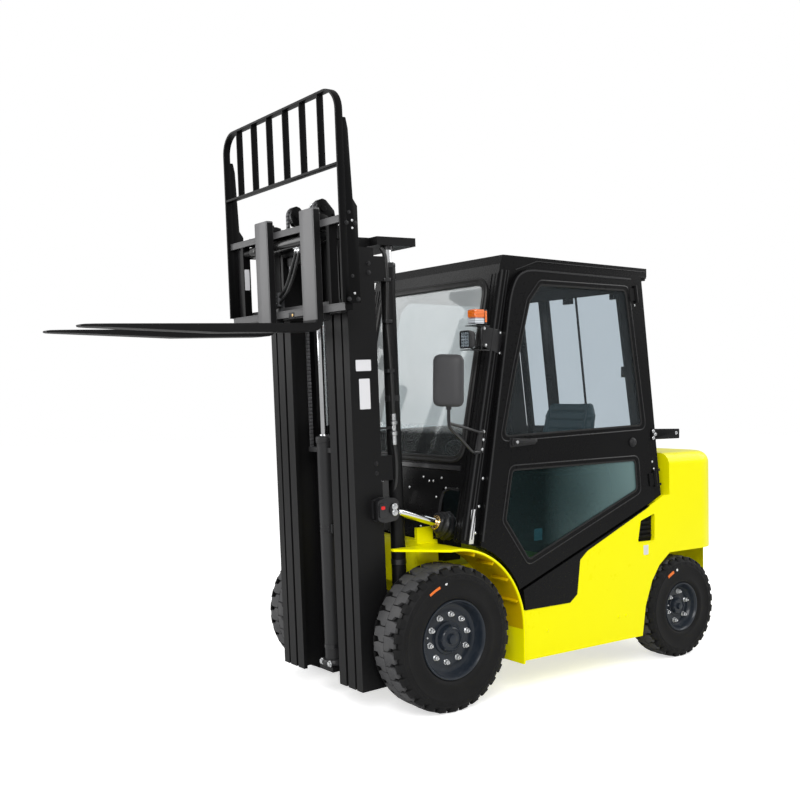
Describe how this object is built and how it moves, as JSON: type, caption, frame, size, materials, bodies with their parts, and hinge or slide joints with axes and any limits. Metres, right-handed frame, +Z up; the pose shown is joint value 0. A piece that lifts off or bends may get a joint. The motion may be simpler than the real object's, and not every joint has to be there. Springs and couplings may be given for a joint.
{
  "type": "counterbalance forklift truck",
  "caption": "Counterbalance forklift truck with a closed cab, a lifting and tilting mast, side-shifting forks, load backrest, steered rear wheels and opening doors.",
  "frame": {"origin": "centre of the bounding box on the floor", "axes": "-Y is the truck's front, +X the operator's left, +Z up"},
  "size_m": [1.4642, 3.8016, 2.9129],
  "materials": {
    "body_paint": "gloss yellow paint",
    "cab_paint": "satin black paint",
    "mast_steel": "satin black paint",
    "rim_paint": "dark blue-grey paint",
    "tyre": "black rubber",
    "glass": "clear",
    "door_glass": "tinted",
    "seat_cover": "dark teal vinyl",
    "black_plastic": "moulded",
    "chrome": "polished",
    "cast_grey": "dark grey",
    "chain": "oiled",
    "lamp_amber": "moulded lens",
    "lamp_face": "reflector behind lens",
    "boot_rubber": "dull",
    "fork_steel": "black paint, worn to grey in front"
  },
  "bodies": {
    "chassis": {"main_frame": "body_paint", "counterweight": "body_paint", "rear_grille": "black_plastic", "tow_pin": "chrome", "engine_block": "cast_grey", "drive_axle": "cast_grey", "steer_axle": "cast_grey", "cab_frame": "cab_paint", "roof": "cab_paint", "front_panel": "cab_paint", "windscreen": "glass", "dashboard": "black_plastic", "steering_wheel": "black_plastic", "lamp_brackets": "cab_paint", "work_lamps": "lamp_face", "turn_lamps": "lamp_amber", "mirrors": "black_plastic"},
    "front_wheel_left": {"front_tyre_left": "tyre", "front_rim_left": "rim_paint"},
    "front_wheel_right": {"front_tyre_right": "tyre", "front_rim_right": "rim_paint"},
    "steer_left": {"knuckle_left": "cast_grey"},
    "steer_right": {"knuckle_right": "cast_grey"},
    "rear_wheel_left": {"rear_tyre_left": "tyre", "rear_rim_left": "rim_paint"},
    "rear_wheel_right": {"rear_tyre_right": "tyre", "rear_rim_right": "rim_paint"},
    "left_door": {"door_left": "cab_paint", "door_glass_left": "door_glass"},
    "right_door": {"door_right": "cab_paint", "door_glass_right": "door_glass"},
    "hood": {"engine_hood": "cab_paint", "seat_cushion": "seat_cover", "seat_back": "seat_cover"},
    "rear_window": {"rear_window_frame": "cab_paint", "rear_window_glass": "glass"},
    "mast": {"mast_outer": "mast_steel", "lift_barrels": "mast_steel"},
    "middle_stage": {"mast_middle": "mast_steel", "lift_rods": "chrome", "stage_chains": "chain"},
    "inner_stage": {"mast_inner": "mast_steel", "free_lift_barrel": "mast_steel"},
    "crosshead": {"free_lift_rod": "chrome", "carriage_chains": "chain", "anchor_chains": "chain"},
    "lift_carriage": {"carriage": "mast_steel"},
    "fork_carrier": {"sideshift_frame": "mast_steel", "forks": "fork_steel", "backrest": "mast_steel"},
    "tilt_barrel": {"tilt_barrels": "mast_steel", "tilt_boots": "boot_rubber"},
    "tilt_rod": {"tilt_rods": "chrome"}
  },
  "joints": [
    {"name": "front_wheel_left_spin", "type": "hinge", "parent": "chassis", "child": "front_wheel_left", "pos_m": [0, -0.1992, 0.35], "axis": [1, 0, 0], "continuous": true},
    {"name": "front_wheel_right_spin", "type": "hinge", "parent": "chassis", "child": "front_wheel_right", "pos_m": [0, -0.1992, 0.35], "axis": [1, 0, 0], "continuous": true},
    {"name": "steer_left_turn", "type": "hinge", "parent": "chassis", "child": "steer_left", "pos_m": [0.385, 1.5128, 0.288], "axis": [0, 0, 1], "range_deg": [-60, 60]},
    {"name": "rear_wheel_left_spin", "type": "hinge", "parent": "steer_left", "child": "rear_wheel_left", "pos_m": [0, 1.5128, 0.288], "axis": [1, 0, 0], "continuous": true},
    {"name": "steer_right_turn", "type": "hinge", "parent": "chassis", "child": "steer_right", "pos_m": [-0.385, 1.5128, 0.288], "axis": [0, 0, 1], "range_deg": [-60, 60]},
    {"name": "rear_wheel_right_spin", "type": "hinge", "parent": "steer_right", "child": "rear_wheel_right", "pos_m": [0, 1.5128, 0.288], "axis": [1, 0, 0], "continuous": true},
    {"name": "left_door_hinge", "type": "hinge", "parent": "chassis", "child": "left_door", "pos_m": [0.581, 1.27828, 1.01], "axis": [0, -0.1457, 0.9893], "range_deg": [0, 95]},
    {"name": "right_door_hinge", "type": "hinge", "parent": "chassis", "child": "right_door", "pos_m": [-0.581, 1.27828, 1.01], "axis": [0, -0.1457, 0.9893], "range_deg": [-95, 0]},
    {"name": "hood_hinge", "type": "hinge", "parent": "chassis", "child": "hood", "pos_m": [0, 1.2968, 1.08], "axis": [-1, 0, 0], "range_deg": [0, 40]},
    {"name": "rear_window_hinge", "type": "hinge", "parent": "chassis", "child": "rear_window", "pos_m": [0, 1.2188, 2.16], "axis": [1, 0, 0], "range_deg": [0, 70]},
    {"name": "mast_tilt", "type": "hinge", "parent": "chassis", "child": "mast", "pos_m": [0, -0.1992, 0.35], "axis": [1, 0, 0], "range_deg": [-8.2, 3.8]},
    {"name": "middle_lift", "type": "slide", "parent": "mast", "child": "middle_stage", "axis": [0, -0.0384, 0.9993], "range_m": [0, 1.45], "deforming": ["stage_chains"]},
    {"name": "inner_lift", "type": "slide", "parent": "middle_stage", "child": "inner_stage", "axis": [0, -0.0384, 0.9993], "range_m": [0, 1.45]},
    {"name": "free_lift", "type": "slide", "parent": "inner_stage", "child": "crosshead", "axis": [0, -0.0384, 0.9993], "range_m": [-0.89, 0.0125], "deforming": ["anchor_chains"]},
    {"name": "carriage_lift", "type": "slide", "parent": "crosshead", "child": "lift_carriage", "axis": [0, -0.0384, 0.9993], "range_m": [-0.89, 0.0125], "deforming": ["carriage_chains"]},
    {"name": "side_shift", "type": "slide", "parent": "lift_carriage", "child": "fork_carrier", "axis": [1, 0, 0], "range_m": [-0.1, 0.1]},
    {"name": "tilt_barrel_turn", "type": "hinge", "parent": "chassis", "child": "tilt_barrel", "pos_m": [0, 0.2308, 0.772], "axis": [1, 0, 0], "range_deg": [-5.2, 2.6]},
    {"name": "tilt_rod_slide", "type": "slide", "parent": "tilt_barrel", "child": "tilt_rod", "axis": [0, -0.9557, 0.2942], "range_m": [-0.081, 0.04]}
  ],
  "couplings": [
    {"joint": "steer_left_turn", "follows": "steer_right_turn", "ratio": 1},
    {"joint": "inner_lift", "follows": "middle_lift", "ratio": 1},
    {"joint": "carriage_lift", "follows": "free_lift", "ratio": 1},
    {"joint": "rear_window_hinge", "follows": "hood_hinge", "ratio": 1.75},
    {"joint": "tilt_barrel_turn", "follows": "mast_tilt", "ratio": 0.592},
    {"joint": "tilt_rod_slide", "follows": "mast_tilt", "m_per_rad": 0.536}
  ]
}
